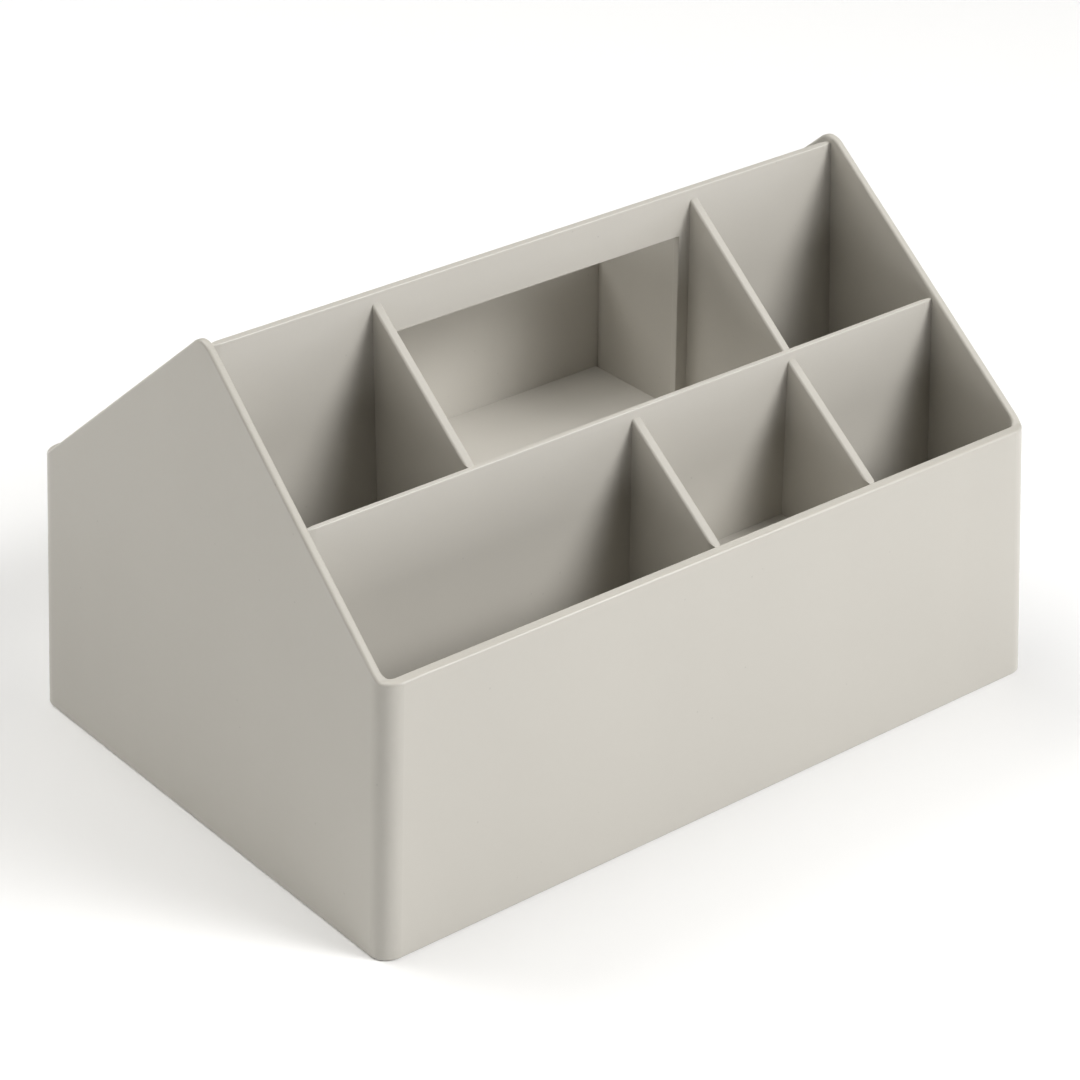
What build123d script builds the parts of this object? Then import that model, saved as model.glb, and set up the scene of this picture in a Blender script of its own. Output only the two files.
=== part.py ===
from build123d import *
import math
import os

os.makedirs("parts", exist_ok=True)

# Storage caddy with two house-shaped end gables, a hand opening in the ridge
# wall and a grid of open compartments. Millimetres, +Z up, origin at the
# centre of the base on the surface that the caddy stands on. X runs along
# the length, -Y is the front.

# ---- outer body -----------------------------------------------------------
length = 320.0            # along X, at the base edge
width = 226.6             # along Y, at the base edge
end_lean_deg = 3.15       # the gables lean inward toward the top
end_in_deg = 2.85         # their inner faces lean a little less
side_lean_deg = 1.45      # lean of the front and rear walls
side_in_deg = 1.2         # lean of their inner faces
wall_end = 3.55           # thickness of the gables at the height of the eaves
wall_side = 4.6           # thickness of the front and rear walls at the eaves
base_t = 3.0              # base thickness
eave_z = 110.1            # height of the front and rear rims
peak_z = 198.3            # gable peak before rounding
corner_r = 8.0            # outer radius of the four upright corners
corner_in_r = 3.8         # inner radius of the four upright corners
peak_r = 7.5              # rounding of the gable peak
eave_r = 2.5              # blend from the low rim into the gable slope
rim_out_r = 1.1           # rounding of the rim's outer edge
rim_in_r = 0.9            # rounding of the rim's inner edge
base_edge_r = 0.8         # rounding of the base edge
floor_r = 1.5             # blend between base and walls, inside
foot_ring_w = 9.0         # width of the standing ring under the base
foot_ring_h = 1.0         # how far the ring stands proud of the underside

# ---- lengthwise walls -----------------------------------------------------
ridge_t = 3.2             # thickness of the centre wall
inner_t = 2.4             # thickness of the front and rear inner walls
ridge_z = 193.6           # top of the centre wall
inner_z = 146.6           # top of the front and rear inner walls
front_y = -58.25          # centre plane of the front inner wall
rear_y = 54.7             # centre plane of the rear inner wall
panel_top_r = 0.5         # rounding of the wall tops
neck_l = 4.0              # the walls narrow over this length at the gables
ridge_neck_t = 1.8        # to this thickness, centre wall
inner_neck_t = 1.2        # and inner walls
opening_half = 67.6       # half width of the hand opening
opening_top_z = 175.2     # underside of the handle band
opening_r = 0.4           # upper corner radius of the hand opening

# ---- crosswise dividers ---------------------------------------------------
cross_t = 3.9             # thickness of the cross dividers
cross_z = 189.3           # their height at the centre wall
cross_left_x = -75.5
cross_right_x = 74.8
row_t = 4.05              # thickness of the row dividers
row_z = 143.1             # their height at the inner wall
front_mid_x = -1.9
front_right_x = 74.8
rear_mid_x = 1.9
rear_left_x = -74.8
divider_top_r = 1.0       # rounding of the divider tops
divider_neck_l = 3.4      # the dividers narrow over this length where they
divider_neck_t = 2.0      # end at a wall that has no divider behind it
lap_z = 60.0              # height where the crossed walls are half-lapped

# ---- raised tray floors ---------------------------------------------------
tray_t = 3.0
handle_tray_z = 97.2      # upper face of the floor under the handle
row_tray_z = 77.2         # upper face of the floors in the two rows
ledge_w = 2.2             # ledges that carry the floors
ledge_h = 3.0

# ---- joints between the pieces --------------------------------------------
tongue = 1.2              # depth of the grooves in the body
rebate = 0.8              # depth of the grooves in the inner walls
play = 0.05               # clearance on each side of a tongue or a lap
foot_relief = 2.0         # chamfer that clears the blend at the base

# ---- derived --------------------------------------------------------------
end_lean = math.tan(math.radians(end_lean_deg))
end_in = math.tan(math.radians(end_in_deg))
side_lean = math.tan(math.radians(side_lean_deg))
side_in = math.tan(math.radians(side_in_deg))
block_h = 230.0


def end_x(z):
    """Half length of the inside at height z."""
    return length / 2 - end_lean * eave_z - wall_end - end_in * (z - eave_z)


def side_y(z):
    """Half width of the inside at height z."""
    return width / 2 - side_lean * eave_z - wall_side - side_in * (z - eave_z)


eave_in_y = side_y(eave_z)
ht = ridge_t / 2
hi = inner_t / 2
front_face_front = front_y - hi       # front inner wall, face toward the front
front_face_back = front_y + hi
rear_face_front = rear_y - hi
rear_face_back = rear_y + hi

row_end_z = eave_z - 0.6              # row dividers, where they meet the rim
cross_end_z = inner_z - 1.0           # cross dividers, at the inner walls
handle_floor_z = handle_tray_z - tray_t
row_floor_z = row_tray_z - tray_t
row_tongue_z = row_end_z - 6.0        # tongues stop short of the visible tops
cross_tongue_z = cross_end_z - 6.0
row_in_tongue_z = row_z - 6.0


def wall_neck(y_c, half, half_end, side):
    """Space cut away on both faces of a lengthwise wall, beside one gable."""
    x_g = end_x(base_t)
    with BuildPart() as neck:
        with BuildSketch(Plane.XY.offset(base_t)):
            for face in (-1, 1):
                with BuildLine():
                    Polyline(
                        (side * (x_g - neck_l), y_c + face * half),
                        (side * x_g, y_c + face * half_end),
                        (side * (x_g + 4), y_c + face * half_end),
                        (side * (x_g + 4), y_c + face * (half + 3)),
                        (side * (x_g - neck_l), y_c + face * (half + 3)),
                        close=True,
                    )
                make_face()
        extrude(amount=block_h, dir=(-side * end_in, 0, 1))
    return neck.part


def divider_neck(x_c, half, y_wall, side, follow):
    """Space cut away on both faces of a divider, beside the wall at y_wall.
    The faces bend inward in one long arc."""
    half_end = divider_neck_t / 2
    bow = (half - half_end) * 0.29
    with BuildPart() as neck:
        with BuildSketch(Plane.XY.offset(base_t)):
            for face in (-1, 1):
                with BuildLine():
                    start = (x_c + face * half, y_wall - side * divider_neck_l)
                    mid = (x_c + face * (half - bow), y_wall - side * divider_neck_l * 0.46)
                    end = (x_c + face * half_end, y_wall)
                    ThreePointArc(start, mid, end)
                    Polyline(
                        end,
                        (x_c + face * half_end, y_wall + side * 4),
                        (x_c + face * (half + 3), y_wall + side * 4),
                        (x_c + face * (half + 3), y_wall - side * divider_neck_l),
                        start,
                    )
                make_face()
        extrude(amount=block_h, dir=(0, -side * follow, 1))
    return neck.part


def sloped_wall(x_c, t, low, high, outline):
    """Crosswise wall whose top follows the YZ line from low to high, with the
    long edges of the top rounded, cut to an outline in YZ."""
    slope = (high[1] - low[1]) / (high[0] - low[0])
    y_a, y_b = min(low[0], high[0]) - 25, max(low[0], high[0]) + 25
    z_at = lambda y: low[1] + slope * (y - low[0])
    with BuildPart() as wall:
        with BuildSketch(Plane.YZ.offset(x_c)):
            with BuildLine():
                Polyline(
                    (y_a, base_t), (y_b, base_t), (y_b, z_at(y_b)), (y_a, z_at(y_a)),
                    close=True,
                )
            make_face()
        extrude(amount=t / 2, both=True)
        top = wall.faces().sort_by(Axis.Z)[-1]
        long = top.edges().filter_by(lambda e: e.length > 20)
        fillet(long, radius=divider_top_r)
        with BuildSketch(Plane.YZ.offset(x_c)):
            with BuildLine():
                Polyline(*outline, close=True)
            make_face()
        extrude(amount=t, both=True, mode=Mode.INTERSECT)
    return wall.part


# ---------------------------------------------------------------------------
# Hollow of the body: the space inside the outer walls, above the base.
# ---------------------------------------------------------------------------
with BuildPart() as hollow:
    with BuildSketch(Plane.XY.offset(base_t)):
        Rectangle(2 * end_x(base_t), 2 * side_y(base_t))
    with BuildSketch(Plane.XY.offset(block_h)):
        Rectangle(2 * end_x(block_h), 2 * side_y(block_h))
    loft(ruled=True)
    upright = hollow.edges().filter_by(lambda e: abs(e.tangent_at(0.5).Z) > 0.9)
    fillet(upright, radius=corner_in_r)
    fillet(hollow.edges().group_by(Axis.Z)[0], radius=floor_r)

# Grooves for the outer ends of the row dividers, in the front and rear walls.
row_dividers = (
    (-1, front_mid_x),
    (-1, front_right_x),
    (1, rear_mid_x),
    (1, rear_left_x),
)
row_grooves = []
for side, x_c in row_dividers:
    z_a, z_b = base_t + foot_relief, row_tongue_z + play
    with BuildPart() as row_groove:
        with BuildSketch(Plane.XZ):
            with BuildLine():
                Polyline(
                    (x_c - divider_neck_t / 2 - play, z_a),
                    (x_c + divider_neck_t / 2 + play, z_a),
                    (x_c + divider_neck_t / 2 + play, z_b),
                    (x_c - divider_neck_t / 2 - play, z_b),
                    close=True,
                )
            make_face()
        extrude(amount=width, both=True)
        with BuildSketch(Plane.YZ.offset(x_c)):
            with BuildLine():
                Polyline(
                    (side * (side_y(z_a) - 0.3), z_a),
                    (side * (side_y(z_a) + tongue), z_a),
                    (side * (side_y(z_b) + tongue), z_b),
                    (side * (side_y(z_b) - 0.3), z_b),
                    close=True,
                )
            make_face()
        extrude(amount=20, both=True, mode=Mode.INTERSECT)
    row_grooves.append(row_groove.part)

# ---------------------------------------------------------------------------
# Body shell: base, front and rear walls and the two gables in one moulding.
# ---------------------------------------------------------------------------
with BuildPart() as shell:
    with BuildSketch():
        Rectangle(length, width)
    with BuildSketch(Plane.XY.offset(block_h)):
        Rectangle(length - 2 * end_lean * block_h, width - 2 * side_lean * block_h)
    loft(ruled=True)
    upright = shell.edges().filter_by(lambda e: abs(e.tangent_at(0.5).Z) > 0.9)
    fillet(upright, radius=corner_r)
    fillet(shell.edges().group_by(Axis.Z)[0], radius=base_edge_r)
    add(hollow.part, mode=Mode.SUBTRACT)

    # Roof line: level along the low rims, then straight up to the peak.
    with BuildSketch(Plane.YZ) as roof:
        with BuildLine():
            Polyline(
                (-width, eave_z),
                (-eave_in_y, eave_z),
                (0, peak_z),
                (eave_in_y, eave_z),
                (width, eave_z),
                (width, 300),
                (-width, 300),
                close=True,
            )
        make_face()
        fillet(
            roof.vertices().filter_by(lambda v: abs(v.Y - peak_z) < 0.1),
            radius=peak_r,
        )
        fillet(
            roof.vertices().filter_by(
                lambda v: abs(v.Y - eave_z) < 0.1 and abs(abs(v.X) - eave_in_y) < 0.1
            ),
            radius=eave_r,
        )
    extrude(amount=length, both=True, mode=Mode.SUBTRACT)

    def rim_offset(e):
        """Distance of a rim edge from the inner wall surface, outward."""
        p = e.position_at(0.5)
        hx, hy = end_x(p.Z) - corner_in_r, side_y(p.Z) - corner_in_r
        dx, dy = abs(p.X) - hx, abs(p.Y) - hy
        return math.hypot(max(dx, 0), max(dy, 0)) + min(max(dx, dy), 0) - corner_in_r

    def on_roof(e):
        """True where the whole edge lies on the roof line."""
        for k in (0.0, 0.25, 0.5, 0.75, 1.0):
            p = e.position_at(k)
            slope = (peak_z - eave_z) / eave_in_y
            z_line = max(eave_z, peak_z - slope * abs(p.Y))
            if p.Z < z_line - 3.2 or p.Z > z_line + 1.6 or p.Z < eave_z - 0.1:
                return False
        return True

    outer_rim = shell.edges().filter_by(
        lambda e: on_roof(e) and rim_offset(e) > 2.4
    )
    fillet(outer_rim, radius=rim_out_r)
    inner_rim = shell.edges().filter_by(
        lambda e: on_roof(e) and abs(rim_offset(e)) < 0.3
    )
    fillet(inner_rim, radius=rim_in_r)

    # Underside set back inside a standing ring.
    with BuildSketch():
        RectangleRounded(
            length - 2 * foot_ring_w, width - 2 * foot_ring_w, corner_in_r
        )
    extrude(amount=foot_ring_h, mode=Mode.SUBTRACT)

    # Ledges for the raised floors of the two rows.
    for side, x_a, x_b in (
        (-1, front_mid_x + 2.6, front_right_x - 2.6),
        (1, rear_left_x + 2.6, rear_mid_x - 2.6),
    ):
        with BuildSketch(Plane.YZ.offset((x_a + x_b) / 2)):
            with BuildLine():
                Polyline(
                    (side * (side_y(row_floor_z) + 1.0), row_floor_z),
                    (side * (side_y(row_floor_z) - ledge_w), row_floor_z),
                    (side * (side_y(row_floor_z) - ledge_w), row_floor_z - 1.0),
                    (side * (side_y(row_floor_z) + 1.0), row_floor_z - ledge_h - 1.0),
                    close=True,
                )
            make_face()
        extrude(amount=(x_b - x_a) / 2, both=True)

    # Grooves in the gables for the three lengthwise walls.
    for y_c, z_top, half in (
        (0.0, ridge_z - 8.0, ridge_neck_t / 2),
        (front_y, inner_z - 8.0, inner_neck_t / 2),
        (rear_y, inner_z - 8.0, inner_neck_t / 2),
    ):
        for side in (-1, 1):
            with BuildSketch(Plane.XZ.offset(-y_c)):
                with BuildLine():
                    Polyline(
                        (side * (end_x(6.0) - 0.5), 6.0 - play),
                        (side * (end_x(6.0) + tongue), 6.0 - play),
                        (side * (end_x(z_top) + tongue), z_top + play),
                        (side * (end_x(z_top) - 0.5), z_top + play),
                        close=True,
                    )
                make_face()
            extrude(amount=half + play, both=True, mode=Mode.SUBTRACT)

    add(row_grooves, mode=Mode.SUBTRACT)

shell.part.label = "shell"
export_step(shell.part, "parts/shell.step")

# ---------------------------------------------------------------------------
# Centre panel: the ridge wall with the hand opening and the handle band.
# ---------------------------------------------------------------------------
centre_panel_necks = [
    wall_neck(0.0, ht, ridge_neck_t / 2, side) for side in (-1, 1)
]

with BuildPart() as centre_panel:
    z_t = ridge_z - 8.0
    right = [
        (end_x(base_t) - foot_relief, base_t),
        (end_x(base_t + foot_relief), base_t + foot_relief),
        (end_x(6.0), 6.0),
        (end_x(6.0) + tongue - play, 6.0),
        (end_x(z_t) + tongue - play, z_t),
        (end_x(z_t), z_t),
        (end_x(ridge_z), ridge_z),
    ]
    left = [(-x, z) for x, z in reversed(right)]
    with BuildSketch(Plane.XZ):
        with BuildLine():
            Polyline(*right, *left, close=True)
        make_face()
    extrude(amount=ht, both=True)
    add(centre_panel_necks, mode=Mode.SUBTRACT)
    fillet(
        centre_panel.edges().filter_by(
            lambda e: abs(e.center().Z - ridge_z) < 0.01 and abs(e.tangent_at(0.5).X) > 0.5
        ),
        radius=panel_top_r,
    )
    # Hand opening.
    with BuildSketch(Plane.XZ) as opening:
        with Locations((0, (handle_floor_z + opening_top_z) / 2)):
            Rectangle(2 * opening_half, opening_top_z - handle_floor_z)
        fillet(opening.vertices().group_by(Axis.Y)[-1], radius=opening_r)
    extrude(amount=10, both=True, mode=Mode.SUBTRACT)
    loops = centre_panel.edges().filter_by(
        lambda e: abs(abs(e.center().Y) - ht) < 0.01
        and abs(e.center().X) < opening_half + 0.1
        and handle_floor_z - 0.1 < e.center().Z < opening_top_z + 0.1
        and abs(e.position_at(0).Y - e.position_at(1).Y) < 0.01
    )
    fillet(loops, radius=panel_top_r)
    # Half laps, open at the bottom, for the two cross dividers.
    for x_c in (cross_left_x, cross_right_x):
        with BuildSketch(Plane.XZ):
            with BuildLine():
                Polyline(
                    (x_c - cross_t / 2 - play, base_t - 1),
                    (x_c + cross_t / 2 + play, base_t - 1),
                    (x_c + cross_t / 2 + play, lap_z + play),
                    (x_c - cross_t / 2 - play, lap_z + play),
                    close=True,
                )
            make_face()
        extrude(amount=10, both=True, mode=Mode.SUBTRACT)

centre_panel.part.label = "centre_panel"
export_step(centre_panel.part, "parts/centre_panel.step")

# ---------------------------------------------------------------------------
# Front inner wall: separates the front row from the middle of the caddy.
# ---------------------------------------------------------------------------
front_inner_wall_necks = [
    wall_neck(front_y, hi, inner_neck_t / 2, side) for side in (-1, 1)
]

with BuildPart() as front_inner_wall:
    z_t = inner_z - 8.0
    right = [
        (end_x(base_t) - foot_relief, base_t),
        (end_x(base_t + foot_relief), base_t + foot_relief),
        (end_x(6.0), 6.0),
        (end_x(6.0) + tongue - play, 6.0),
        (end_x(z_t) + tongue - play, z_t),
        (end_x(z_t), z_t),
        (end_x(inner_z), inner_z),
    ]
    left = [(-x, z) for x, z in reversed(right)]
    with BuildSketch(Plane.XZ.offset(-front_y)):
        with BuildLine():
            Polyline(*right, *left, close=True)
        make_face()
    extrude(amount=hi, both=True)
    add(front_inner_wall_necks, mode=Mode.SUBTRACT)
    fillet(
        front_inner_wall.edges().filter_by(
            lambda e: abs(e.center().Z - inner_z) < 0.01 and abs(e.tangent_at(0.5).X) > 0.5
        ),
        radius=panel_top_r,
    )
    # Ledges: rear face for the floor under the handle, front face for the
    # floor of the front row.
    for y_face, out, z_l, x_a, x_b in (
        (front_face_back, 1, handle_floor_z, cross_left_x + 3, cross_right_x - 3),
        (front_face_front, -1, row_floor_z, front_mid_x + 2.6, front_right_x - 2.6),
    ):
        with BuildSketch(Plane.YZ.offset((x_a + x_b) / 2)):
            with BuildLine():
                Polyline(
                    (y_face - out * 0.5, z_l),
                    (y_face + out * ledge_w, z_l),
                    (y_face + out * ledge_w, z_l - 1.0),
                    (y_face - out * 0.5, z_l - ledge_h - 1.0),
                    close=True,
                )
            make_face()
        extrude(amount=(x_b - x_a) / 2, both=True)
    # Grooves for the divider ends.
    for x_c, y_face, t, z_g in (
        (cross_left_x, front_face_back, divider_neck_t, cross_tongue_z),
        (cross_right_x, front_face_back, cross_t, cross_tongue_z),
        (front_mid_x, front_face_front, row_t, row_in_tongue_z),
        (front_right_x, front_face_front, row_t, row_in_tongue_z),
    ):
        with BuildSketch(Plane.XZ.offset(-y_face)):
            with BuildLine():
                Polyline(
                    (x_c - t / 2 - play, base_t - 1),
                    (x_c + t / 2 + play, base_t - 1),
                    (x_c + t / 2 + play, z_g + play),
                    (x_c - t / 2 - play, z_g + play),
                    close=True,
                )
            make_face()
        extrude(amount=rebate, both=True, mode=Mode.SUBTRACT)

front_inner_wall.part.label = "front_inner_wall"
export_step(front_inner_wall.part, "parts/front_inner_wall.step")

# ---------------------------------------------------------------------------
# Rear inner wall: its counterpart behind the ridge.
# ---------------------------------------------------------------------------
rear_inner_wall_necks = [
    wall_neck(rear_y, hi, inner_neck_t / 2, side) for side in (-1, 1)
]

with BuildPart() as rear_inner_wall:
    with BuildSketch(Plane.XZ.offset(-rear_y)):
        with BuildLine():
            Polyline(*right, *left, close=True)
        make_face()
    extrude(amount=hi, both=True)
    add(rear_inner_wall_necks, mode=Mode.SUBTRACT)
    fillet(
        rear_inner_wall.edges().filter_by(
            lambda e: abs(e.center().Z - inner_z) < 0.01 and abs(e.tangent_at(0.5).X) > 0.5
        ),
        radius=panel_top_r,
    )
    for y_face, out, z_l, x_a, x_b in (
        (rear_face_front, -1, handle_floor_z, cross_left_x + 3, cross_right_x - 3),
        (rear_face_back, 1, row_floor_z, rear_left_x + 2.6, rear_mid_x - 2.6),
    ):
        with BuildSketch(Plane.YZ.offset((x_a + x_b) / 2)):
            with BuildLine():
                Polyline(
                    (y_face - out * 0.5, z_l),
                    (y_face + out * ledge_w, z_l),
                    (y_face + out * ledge_w, z_l - 1.0),
                    (y_face - out * 0.5, z_l - ledge_h - 1.0),
                    close=True,
                )
            make_face()
        extrude(amount=(x_b - x_a) / 2, both=True)
    for x_c, y_face, t, z_g in (
        (cross_left_x, rear_face_front, cross_t, cross_tongue_z),
        (cross_right_x, rear_face_front, divider_neck_t, cross_tongue_z),
        (rear_mid_x, rear_face_back, row_t, row_in_tongue_z),
        (rear_left_x, rear_face_back, row_t, row_in_tongue_z),
    ):
        with BuildSketch(Plane.XZ.offset(-y_face)):
            with BuildLine():
                Polyline(
                    (x_c - t / 2 - play, base_t - 1),
                    (x_c + t / 2 + play, base_t - 1),
                    (x_c + t / 2 + play, z_g + play),
                    (x_c - t / 2 - play, z_g + play),
                    close=True,
                )
            make_face()
        extrude(amount=rebate, both=True, mode=Mode.SUBTRACT)

rear_inner_wall.part.label = "rear_inner_wall"
export_step(rear_inner_wall.part, "parts/rear_inner_wall.step")

# ---------------------------------------------------------------------------
# Cross dividers: walls from the front to the rear inner wall, highest at the
# ridge, with a half lap, open at the top, that takes the centre panel.
# ---------------------------------------------------------------------------
def cross_half(x_c, side, y_face):
    """Half of a cross divider, from the ridge to the inner wall at y_face."""
    outline = (
        (0, base_t),
        (y_face + side * (rebate - play), base_t),
        (y_face + side * (rebate - play), cross_tongue_z),
        (y_face, cross_tongue_z),
        (y_face, 240.0),
        (0, 240.0),
    )
    return sloped_wall(
        x_c, cross_t, (y_face, cross_end_z), (side * ht, cross_z), outline
    )


left_halves = [
    cross_half(cross_left_x, -1, front_face_back),
    cross_half(cross_left_x, 1, rear_face_front),
]
left_neck = divider_neck(cross_left_x, cross_t / 2, front_face_back, -1, 0)

with BuildPart() as cross_divider_left:
    add(left_halves)
    add(left_neck, mode=Mode.SUBTRACT)
    with BuildSketch(Plane.XY.offset(lap_z)):
        with Locations((cross_left_x, 0)):
            Rectangle(20, 2 * (ht + play))
    extrude(amount=200, mode=Mode.SUBTRACT)

cross_divider_left.part.label = "cross_divider_left"
export_step(cross_divider_left.part, "parts/cross_divider_left.step")

right_halves = [
    cross_half(cross_right_x, -1, front_face_back),
    cross_half(cross_right_x, 1, rear_face_front),
]
right_neck = divider_neck(cross_right_x, cross_t / 2, rear_face_front, 1, 0)

with BuildPart() as cross_divider_right:
    add(right_halves)
    add(right_neck, mode=Mode.SUBTRACT)
    with BuildSketch(Plane.XY.offset(lap_z)):
        with Locations((cross_right_x, 0)):
            Rectangle(20, 2 * (ht + play))
    extrude(amount=200, mode=Mode.SUBTRACT)

cross_divider_right.part.label = "cross_divider_right"
export_step(cross_divider_right.part, "parts/cross_divider_right.step")


# ---------------------------------------------------------------------------
# Row dividers: walls between an inner wall and the outer wall.
# ---------------------------------------------------------------------------
def row_wall(x_c, side, y_face):
    """Row divider from the inner wall at y_face outward, without its neck."""
    z_c = base_t + foot_relief
    outline = (
        (y_face - side * (rebate - play), base_t),
        (side * (side_y(base_t) - foot_relief), base_t),
        (side * side_y(z_c), z_c),
        (side * (side_y(z_c) + tongue - play), z_c),
        (side * (side_y(row_tongue_z) + tongue - play), row_tongue_z),
        (side * side_y(row_tongue_z), row_tongue_z),
        (side * side_y(180.0), 180.0),
        (y_face, 180.0),
        (y_face, row_in_tongue_z),
        (y_face - side * (rebate - play), row_in_tongue_z),
    )
    return sloped_wall(
        x_c, row_t, (side * side_y(row_end_z), row_end_z), (y_face, row_z), outline
    )


def row_neck(x_c, side):
    """Neck of a row divider at the outer wall."""
    return divider_neck(x_c, row_t / 2, side * side_y(base_t), side, side_in)


front_row_divider_mid_wall = row_wall(front_mid_x, -1, front_face_front)
front_row_divider_mid_neck = row_neck(front_mid_x, -1)

with BuildPart() as front_row_divider_mid:
    add(front_row_divider_mid_wall)
    add(front_row_divider_mid_neck, mode=Mode.SUBTRACT)

front_row_divider_mid.part.label = "front_row_divider_mid"
export_step(front_row_divider_mid.part, "parts/front_row_divider_mid.step")

front_row_divider_right_wall = row_wall(front_right_x, -1, front_face_front)
front_row_divider_right_neck = row_neck(front_right_x, -1)

with BuildPart() as front_row_divider_right:
    add(front_row_divider_right_wall)
    add(front_row_divider_right_neck, mode=Mode.SUBTRACT)

front_row_divider_right.part.label = "front_row_divider_right"
export_step(front_row_divider_right.part, "parts/front_row_divider_right.step")

rear_row_divider_mid_wall = row_wall(rear_mid_x, 1, rear_face_back)
rear_row_divider_mid_neck = row_neck(rear_mid_x, 1)

with BuildPart() as rear_row_divider_mid:
    add(rear_row_divider_mid_wall)
    add(rear_row_divider_mid_neck, mode=Mode.SUBTRACT)

rear_row_divider_mid.part.label = "rear_row_divider_mid"
export_step(rear_row_divider_mid.part, "parts/rear_row_divider_mid.step")

rear_row_divider_left_wall = row_wall(rear_left_x, 1, rear_face_back)
rear_row_divider_left_neck = row_neck(rear_left_x, 1)

with BuildPart() as rear_row_divider_left:
    add(rear_row_divider_left_wall)
    add(rear_row_divider_left_neck, mode=Mode.SUBTRACT)

rear_row_divider_left.part.label = "rear_row_divider_left"
export_step(rear_row_divider_left.part, "parts/rear_row_divider_left.step")

# ---------------------------------------------------------------------------
# Raised floor under the handle. It lies on the sill of the hand opening and
# on the ledges of the inner walls, notched round the two posts.
# ---------------------------------------------------------------------------
with BuildPart() as handle_tray_floor:
    x_a = cross_left_x + cross_t / 2 + play
    x_b = cross_right_x - cross_t / 2 - play
    with BuildSketch(Plane.XY.offset(handle_floor_z)):
        with BuildLine():
            Polyline(
                (x_a, front_face_back + play),
                (x_b, front_face_back + play),
                (x_b, rear_face_front - play),
                (x_a, rear_face_front - play),
                close=True,
            )
        make_face()
        with Locations((opening_half + 20 - play, 0), (-opening_half - 20 + play, 0)):
            Rectangle(40, 2 * (ht + play), mode=Mode.SUBTRACT)
    extrude(amount=tray_t)

handle_tray_floor.part.label = "handle_tray_floor"
export_step(handle_tray_floor.part, "parts/handle_tray_floor.step")

# ---------------------------------------------------------------------------
# Raised floors of one compartment in each row, on ledges.
# ---------------------------------------------------------------------------
with BuildPart() as front_tray_floor:
    x_a = front_mid_x + row_t / 2 + play
    x_b = front_right_x - row_t / 2 - play
    with BuildSketch(Plane.YZ.offset((x_a + x_b) / 2)):
        with BuildLine():
            Polyline(
                (front_face_front - play, row_floor_z),
                (front_face_front - play, row_tray_z),
                (-side_y(row_tray_z) + play, row_tray_z),
                (-side_y(row_floor_z) + play, row_floor_z),
                close=True,
            )
        make_face()
    extrude(amount=(x_b - x_a) / 2, both=True)

front_tray_floor.part.label = "front_tray_floor"
export_step(front_tray_floor.part, "parts/front_tray_floor.step")

with BuildPart() as rear_tray_floor:
    x_a = rear_left_x + row_t / 2 + play
    x_b = rear_mid_x - row_t / 2 - play
    with BuildSketch(Plane.YZ.offset((x_a + x_b) / 2)):
        with BuildLine():
            Polyline(
                (rear_face_back + play, row_floor_z),
                (rear_face_back + play, row_tray_z),
                (side_y(row_tray_z) - play, row_tray_z),
                (side_y(row_floor_z) - play, row_floor_z),
                close=True,
            )
        make_face()
    extrude(amount=(x_b - x_a) / 2, both=True)

rear_tray_floor.part.label = "rear_tray_floor"
export_step(rear_tray_floor.part, "parts/rear_tray_floor.step")
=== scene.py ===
"""Open storage caddy in satin moulded plastic, on a pale studio floor."""

import math

import bpy
from mathutils import Matrix, Vector


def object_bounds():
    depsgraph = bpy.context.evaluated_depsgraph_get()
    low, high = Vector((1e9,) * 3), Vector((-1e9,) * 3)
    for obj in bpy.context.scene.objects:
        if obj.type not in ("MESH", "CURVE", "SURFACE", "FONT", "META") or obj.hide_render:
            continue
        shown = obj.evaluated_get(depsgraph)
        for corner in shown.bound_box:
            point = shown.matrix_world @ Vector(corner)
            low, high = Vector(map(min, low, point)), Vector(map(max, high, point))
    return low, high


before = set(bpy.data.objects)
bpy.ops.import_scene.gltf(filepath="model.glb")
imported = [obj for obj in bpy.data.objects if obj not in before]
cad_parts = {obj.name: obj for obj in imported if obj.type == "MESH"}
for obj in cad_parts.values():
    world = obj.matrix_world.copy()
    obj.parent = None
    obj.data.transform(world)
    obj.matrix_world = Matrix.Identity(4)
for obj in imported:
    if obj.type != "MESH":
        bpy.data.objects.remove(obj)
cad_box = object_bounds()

scene = bpy.context.scene
scene.view_settings.view_transform = "Standard"
scene.view_settings.look = "None"
scene.view_settings.exposure = 0.0
scene.view_settings.gamma = 1.0


# ---------------------------------------------------------------- materials


def tree(name):
    mat = bpy.data.materials.new(name)
    mat.use_nodes = True
    nt = mat.node_tree
    nt.nodes.clear()
    return mat, nt


def node(nt, kind, x=0, y=0, **values):
    n = nt.nodes.new(kind)
    n.location = (x, y)
    for key, value in values.items():
        n.inputs[key].default_value = value
    return n


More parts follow.
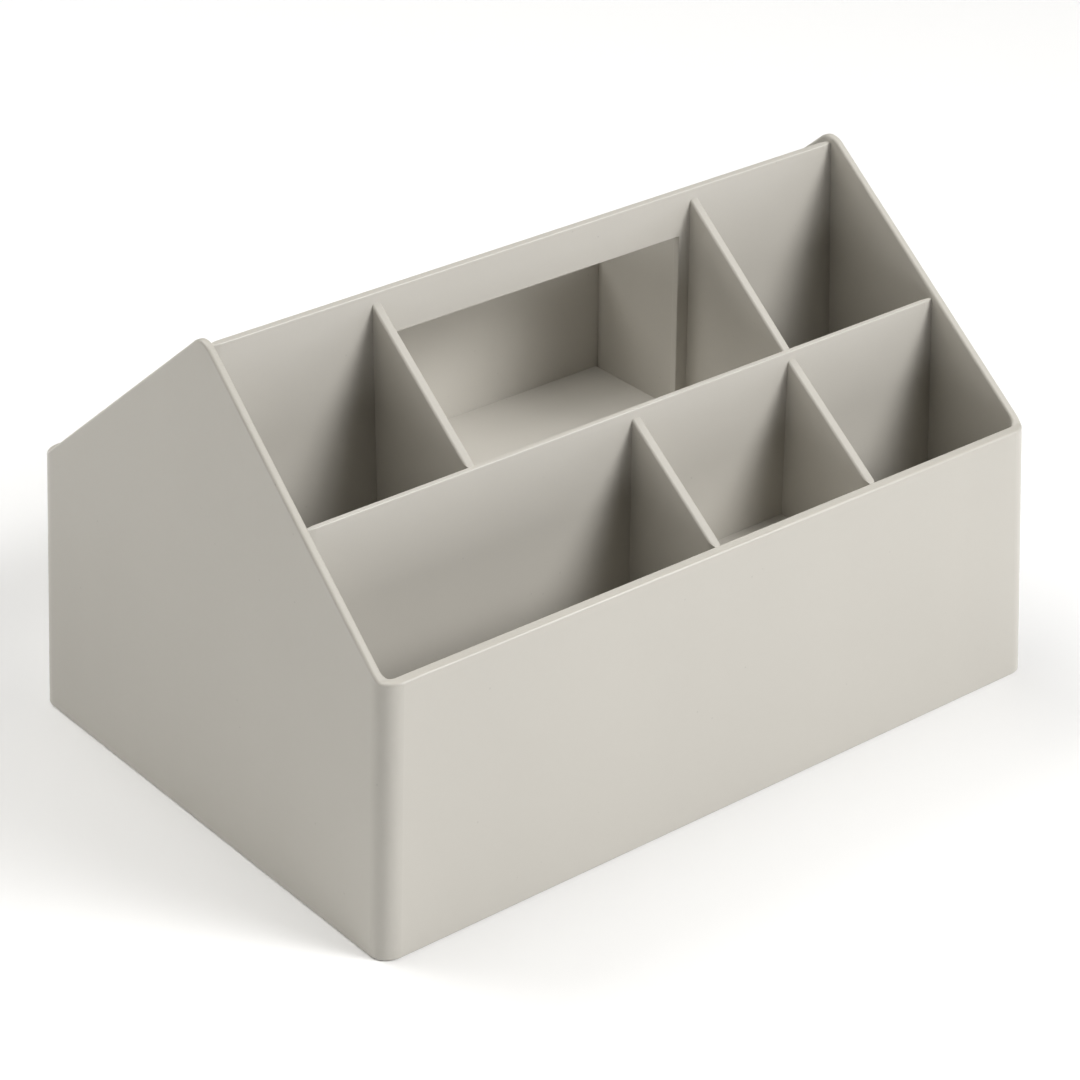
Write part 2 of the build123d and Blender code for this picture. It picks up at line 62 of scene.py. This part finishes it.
def plastic(name, base, spread, rough, rough_spread, seed):
    """Satin moulded plastic: faint pigment drift, upright flow marks, a few specks and a very fine grain."""
    mat, nt = tree(name)
    link = nt.links.new
    out = node(nt, "ShaderNodeOutputMaterial", 900)
    bsdf = node(nt, "ShaderNodeBsdfPrincipled", 600)
    bsdf.inputs["IOR"].default_value = 1.49
    bsdf.inputs["Metallic"].default_value = 0.0
    bsdf.inputs["Specular IOR Level"].default_value = 0.55
    link(bsdf.outputs[0], out.inputs["Surface"])

    where = node(nt, "ShaderNodeTexCoord", -1400)
    shift = node(nt, "ShaderNodeMapping", -1200)
    shift.inputs["Location"].default_value = (0.31 * seed, 0.17 * seed, 0.23 * seed)
    link(where.outputs["Object"], shift.inputs["Vector"])

    # pigment: slow drift over the walls and a finer mottling
    drift = node(nt, "ShaderNodeTexNoise", -900, 300, Scale=14.0, Detail=2.0, Roughness=0.45)
    mottle = node(nt, "ShaderNodeTexNoise", -900, 60, Scale=420.0, Detail=2.0, Roughness=0.5)
    both = nt.nodes.new("ShaderNodeMix")
    both.data_type = "FLOAT"
    both.location = (-650, 220)
    both.inputs[0].default_value = 0.3
    link(shift.outputs[0], drift.inputs["Vector"])
    link(shift.outputs[0], mottle.inputs["Vector"])
    link(drift.outputs["Fac"], both.inputs[2])
    link(mottle.outputs["Fac"], both.inputs[3])
    tint = node(nt, "ShaderNodeValToRGB", -400, 220)
    tint.color_ramp.elements[0].position = 0.3
    tint.color_ramp.elements[1].position = 0.7
    tint.color_ramp.elements[0].color = tuple(c * (1 - spread) for c in base) + (1,)
    tint.color_ramp.elements[1].color = tuple(c * (1 + spread) for c in base) + (1,)

    # flow marks: soft upright streaks
    run = node(nt, "ShaderNodeMapping", -1150, 540)
    run.inputs["Scale"].default_value = (1.0, 1.0, 0.08)
    streak = node(nt, "ShaderNodeTexNoise", -900, 540, Scale=24.0, Detail=2.0, Roughness=0.45)
    blend = nt.nodes.new("ShaderNodeMix")
    blend.data_type = "FLOAT"
    blend.location = (-520, 420)
    blend.inputs[0].default_value = 0.55
    link(shift.outputs[0], run.inputs["Vector"])
    link(run.outputs[0], streak.inputs["Vector"])
    link(both.outputs[0], blend.inputs[2])
    link(streak.outputs["Fac"], blend.inputs[3])
    link(blend.outputs[0], tint.inputs["Fac"])

    # a few tiny dark specks in the pigment
    dots = node(nt, "ShaderNodeTexVoronoi", -900, 860, Scale=90.0)
    speck = node(nt, "ShaderNodeMapRange", -400, 640)
    speck.inputs["From Min"].default_value = 0.014
    speck.inputs["From Max"].default_value = 0.045
    speck.inputs["To Min"].default_value = 0.86
    speck.inputs["To Max"].default_value = 1.0
    scaled = nt.nodes.new("ShaderNodeVectorMath")
    scaled.operation = "SCALE"
    scaled.location = (-100, 320)
    link(shift.outputs[0], dots.inputs["Vector"])
    link(dots.outputs["Distance"], speck.inputs["Value"])
    link(tint.outputs["Color"], scaled.inputs[0])
    link(speck.outputs["Result"], scaled.inputs["Scale"])
    link(scaled.outputs[0], bsdf.inputs["Base Color"])

    # sheen of the surface changes a little over the walls
    sheen = node(nt, "ShaderNodeTexNoise", -900, -200, Scale=55.0, Detail=3.0, Roughness=0.55)
    link(shift.outputs[0], sheen.inputs["Vector"])
    level = node(nt, "ShaderNodeMapRange", -400, -120)
    level.inputs["From Min"].default_value = 0.3
    level.inputs["From Max"].default_value = 0.7
    level.inputs["To Min"].default_value = rough - rough_spread
    level.inputs["To Max"].default_value = rough + rough_spread
    link(sheen.outputs["Fac"], level.inputs["Value"])
    link(level.outputs["Result"], bsdf.inputs["Roughness"])

    # grain of the mould face over a slow waviness
    grain = node(nt, "ShaderNodeTexNoise", -900, -460, Scale=2600.0, Detail=2.0, Roughness=0.6)
    wave = node(nt, "ShaderNodeTexNoise", -900, -700, Scale=9.0, Detail=1.0, Roughness=0.4)
    link(shift.outputs[0], grain.inputs["Vector"])
    link(shift.outputs[0], wave.inputs["Vector"])
    slow = node(nt, "ShaderNodeBump", -200, -600, Strength=1.0, Distance=0.00012)
    fine = node(nt, "ShaderNodeBump", 200, -460, Strength=0.14, Distance=0.00002)
    link(wave.outputs["Fac"], slow.inputs["Height"])
    link(grain.outputs["Fac"], fine.inputs["Height"])
    link(slow.outputs["Normal"], fine.inputs["Normal"])
    link(fine.outputs["Normal"], bsdf.inputs["Normal"])
    return mat


SHELL = (0.548, 0.527, 0.483)
# painted light: the inner walls and raised floors use the shell colour made about 3.5 percent lighter, standing
# in for light that the lamps don't bring into the compartments
PANEL_PAINTED_LIGHT = (0.567, 0.546, 0.504)
shell_mat = plastic("caddy_plastic_shell", SHELL, 0.019, 0.32, 0.02, 1)
panel_mat = plastic("caddy_plastic_panels", PANEL_PAINTED_LIGHT, 0.019, 0.30, 0.02, 2)
floor_mat = plastic("caddy_plastic_floors", PANEL_PAINTED_LIGHT, 0.019, 0.35, 0.02, 3)

for name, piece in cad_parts.items():
    if name == "shell":
        mat = shell_mat
    elif name.endswith("_floor"):
        mat = floor_mat
    else:
        mat = panel_mat
    if not piece.material_slots:
        piece.data.materials.append(mat)
    for slot in piece.material_slots:
        slot.material = mat


# ------------------------------------------------------------- floor, light

floor_look, nt = tree("studio_floor")
surface = node(nt, "ShaderNodeOutputMaterial", 500)
card = node(nt, "ShaderNodeBsdfPrincipled", 200)
card.inputs["Specular IOR Level"].default_value = 0.2
card.inputs["Roughness"].default_value = 0.8
card.inputs["Emission Color"].default_value = (1, 1, 1, 1)
card.inputs["Emission Strength"].default_value = 0.06
spots = node(nt, "ShaderNodeTexNoise", -500, 0, Scale=3.0, Detail=2.0)
place = node(nt, "ShaderNodeTexCoord", -700)
shade = node(nt, "ShaderNodeValToRGB", -250)
shade.color_ramp.elements[0].color = (0.920, 0.924, 0.936, 1)
shade.color_ramp.elements[1].color = (0.930, 0.934, 0.946, 1)
nt.links.new(place.outputs["Object"], spots.inputs["Vector"])
nt.links.new(spots.outputs["Fac"], shade.inputs["Fac"])
nt.links.new(shade.outputs["Color"], card.inputs["Base Color"])
nt.links.new(card.outputs[0], surface.inputs["Surface"])

mesh = bpy.data.meshes.new("studio_floor")
half = 6.0
mesh.from_pydata([(-half, -half, 0), (half, -half, 0), (half, half, 0), (-half, half, 0)], [], [(0, 1, 2, 3)])
mesh.materials.append(floor_look)
ground = bpy.data.objects.new("studio_floor", mesh)
ground.location = (0, 0, cad_box[0][2] - 0.0002)
scene.collection.objects.link(ground)

world = bpy.data.worlds.new("studio")
scene.world = world
world.use_nodes = True
sky = world.node_tree.nodes["Background"]
sky.inputs["Color"].default_value = (1.0, 1.0, 1.0, 1)
sky.inputs["Strength"].default_value = 0.0


def softbox(name, azimuth, elevation, distance, size, power, colour=(1, 1, 1)):
    """An area light that looks at the middle of the object. Azimuth is counted from the front (-Y) towards +X."""
    light = bpy.data.lights.new(name, "AREA")
    light.shape = "DISK"
    light.size = size
    light.energy = power
    light.color = colour
    a, e = math.radians(azimuth), math.radians(elevation)
    way = Vector((math.sin(a) * math.cos(e), -math.cos(a) * math.cos(e), math.sin(e)))
    obj = bpy.data.objects.new(name, light)
    obj.location = Vector((0, 0, 0.08)) + way * distance
    obj.rotation_euler = way.to_track_quat("Z", "Y").to_euler()
    scene.collection.objects.link(obj)
    return obj


SOFT = (1.0, 0.993, 0.975)
WARM = (1.0, 0.960, 0.860)
for name, azimuth, elevation, distance, size, power, colour in (
    ("key", 35, 32, 2.4, 0.8, 12.5, SOFT),
    ("key_far", 35, 32, 5.0, 2.7, 87.0, SOFT),
    ("key_right", 40, 32, 5.0, 1.7, 32.0, SOFT),
    ("key_high", 25, 42, 2.4, 0.8, 11.5, SOFT),
    ("rear", 200, 50, 2.4, 1.6, 24.2, SOFT),
    ("rear_high", 180, 75, 2.4, 1.6, 9.3, SOFT),
    ("top", 0, 90, 2.4, 1.6, 6.2, SOFT),
    ("rear_left", 225, 45, 5.0, 3.4, 24.8, WARM),
    ("left_low", 270, 15, 2.4, 1.6, 3.1, WARM),
    ("left_high", 270, 60, 2.4, 1.6, 5.7, WARM),
):
    softbox(name, azimuth, elevation, distance, size, power, colour)


# ------------------------------------------------------------------- camera

lens = bpy.data.cameras.new("camera")
lens.sensor_fit = "HORIZONTAL"
lens.sensor_width = 36.0
lens.lens = 112.044
lens.clip_start = 0.05
lens.clip_end = 50.0
camera = bpy.data.objects.new("camera", lens)
right = Vector((0.780431, -0.625240, 0.001414)).normalized()
up = Vector((0.305507, 0.383308, 0.871631)).normalized()
back = right.cross(up).normalized()
up = back.cross(right)
turn = Matrix((right, up, back)).transposed()
camera.matrix_world = Matrix.Translation((-0.711336, -0.887647, 0.704724)) @ turn.to_4x4()
scene.collection.objects.link(camera)
scene.camera = camera
